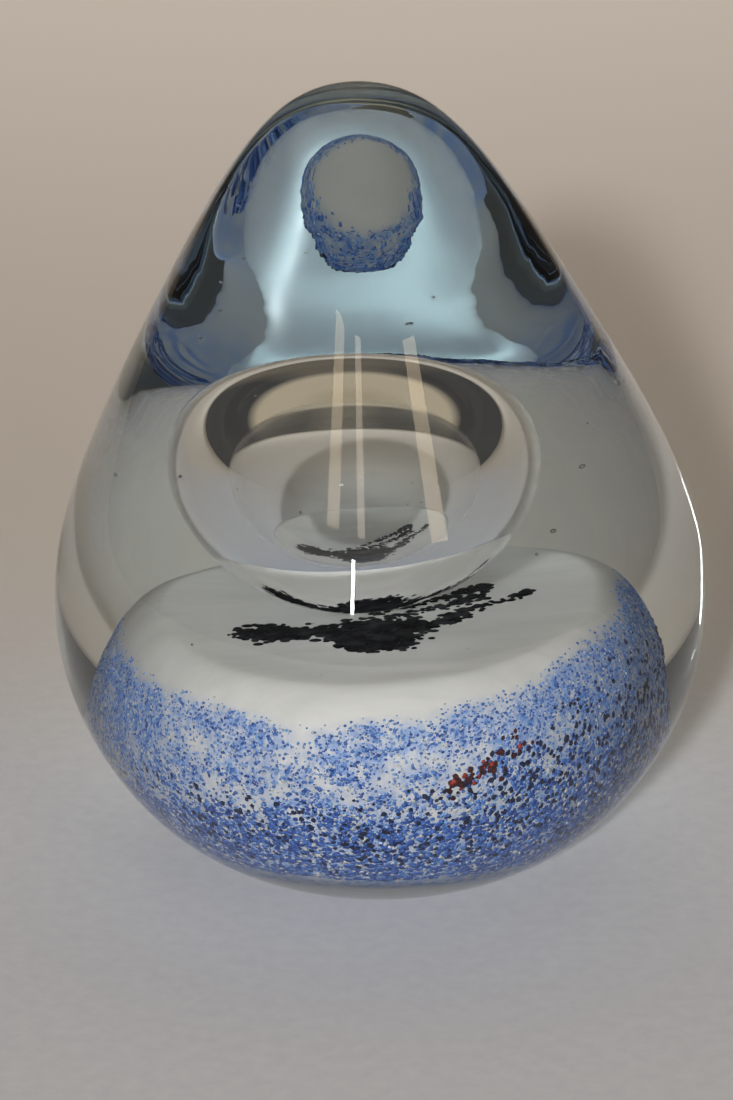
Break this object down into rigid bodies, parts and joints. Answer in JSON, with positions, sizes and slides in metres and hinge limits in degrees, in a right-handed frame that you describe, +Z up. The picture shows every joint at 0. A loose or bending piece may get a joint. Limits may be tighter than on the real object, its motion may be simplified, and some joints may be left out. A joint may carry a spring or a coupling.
{
  "type": "art glass paperweight",
  "caption": "Leaning pear-shaped clear glass paperweight with a large trapped bubble above a domed white ground wrapped in blue frit, on a flat polished foot.",
  "frame": {"origin": "middle of the flat polished foot, on the surface the paperweight stands on", "axes": "+Z up through the glass, -Y towards the front where the red chips show, +X to the right of the front"},
  "size_m": [0.0906, 0.0906, 0.1105],
  "materials": {
    "clear_glass": "fire-polished clear glass, faint grey-blue in depth",
    "clear_core": "clear glass, hidden inside the white overlay",
    "white_glass": "opaque white glass with faint grey streaks",
    "light_blue_frit": "fine opaque light-blue glass frit",
    "cobalt_frit": "medium opaque cobalt glass frit",
    "deep_blue_frit": "coarse deep-blue glass frit",
    "navy_chip": "melted navy glass chip",
    "red_chip": "melted red glass chip",
    "black_glass": "opaque black glass trail"
  },
  "bodies": {
    "root": {"base_gather": "clear_glass", "frit_cobalt_middle": "cobalt_frit", "frit_deep_lower": "deep_blue_frit", "frit_fine_upper": "light_blue_frit", "ground_core": "clear_core", "inner_gather": "clear_glass", "mark_strand_1": "black_glass", "mark_strand_2": "black_glass", "mark_strand_3": "black_glass", "mark_strand_4": "black_glass", "mark_strand_5": "black_glass", "mark_streak": "black_glass", "navy_chip_01": "navy_chip", "navy_chip_02": "navy_chip", "navy_chip_03": "navy_chip", "navy_chip_04": "navy_chip", "navy_chip_05": "navy_chip", "navy_chip_06": "navy_chip", "navy_chip_07": "navy_chip", "navy_chip_08": "navy_chip", "navy_chip_09": "navy_chip", "navy_chip_10": "navy_chip", "navy_chip_11": "navy_chip", "navy_chip_12": "navy_chip", "navy_chip_13": "navy_chip", "navy_chip_14": "navy_chip", "navy_chip_15": "navy_chip", "navy_chip_16": "navy_chip", "navy_chip_17": "navy_chip", "navy_chip_18": "navy_chip", "outer_gather": "clear_glass", "red_chip_01": "red_chip", "red_chip_02": "red_chip", "red_chip_03": "red_chip", "red_chip_04": "red_chip", "red_chip_05": "red_chip", "white_ground": "white_glass"}
  },
  "joints": []
}
